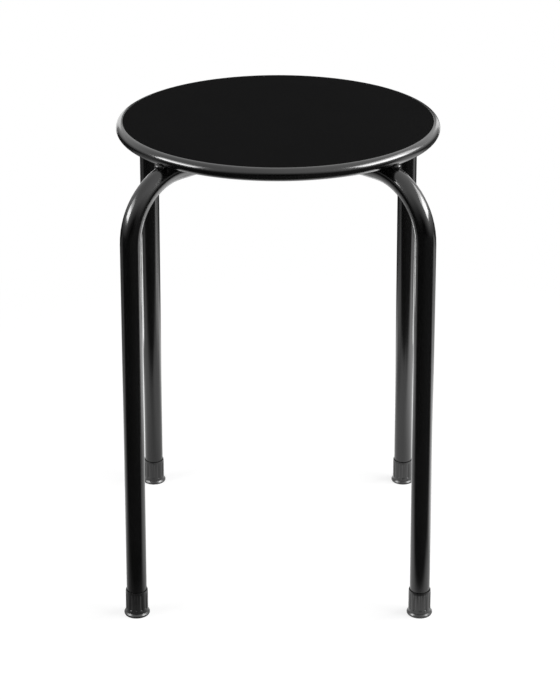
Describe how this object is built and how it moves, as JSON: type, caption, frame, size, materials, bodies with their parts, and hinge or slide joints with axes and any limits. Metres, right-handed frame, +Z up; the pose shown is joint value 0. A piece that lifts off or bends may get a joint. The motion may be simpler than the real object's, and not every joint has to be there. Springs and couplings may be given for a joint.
{
  "type": "metal stool",
  "caption": "Round black metal stool: a flat steel seat with a rolled rim on bent tube legs that cross under it, with plastic feet.",
  "frame": {"origin": "on the floor, under the middle of the seat", "axes": "+Z up, -Y towards the front, the legs on the diagonals"},
  "size_m": [0.3, 0.3, 0.45],
  "materials": {
    "seat_coat": "matt black powder coat on top, glossier on the rolled rim",
    "frame_coat": "smooth gloss black powder coat",
    "weld_coat": "gloss black powder coat over weld beads",
    "foot_plastic": "moulded dark grey plastic, slightly shiny"
  },
  "bodies": {
    "root": {"seat_pan": "seat_coat", "leg_frame_lower": "frame_coat", "leg_frame_upper": "frame_coat", "rim_weld_rear_right": "weld_coat", "rim_weld_rear_left": "weld_coat", "rim_weld_front_left": "weld_coat", "rim_weld_front_right": "weld_coat", "crossing_weld_right": "weld_coat", "crossing_weld_rear": "weld_coat", "crossing_weld_left": "weld_coat", "crossing_weld_front": "weld_coat", "foot_rear_right": "foot_plastic", "foot_rear_left": "foot_plastic", "foot_front_left": "foot_plastic", "foot_front_right": "foot_plastic"}
  },
  "joints": []
}
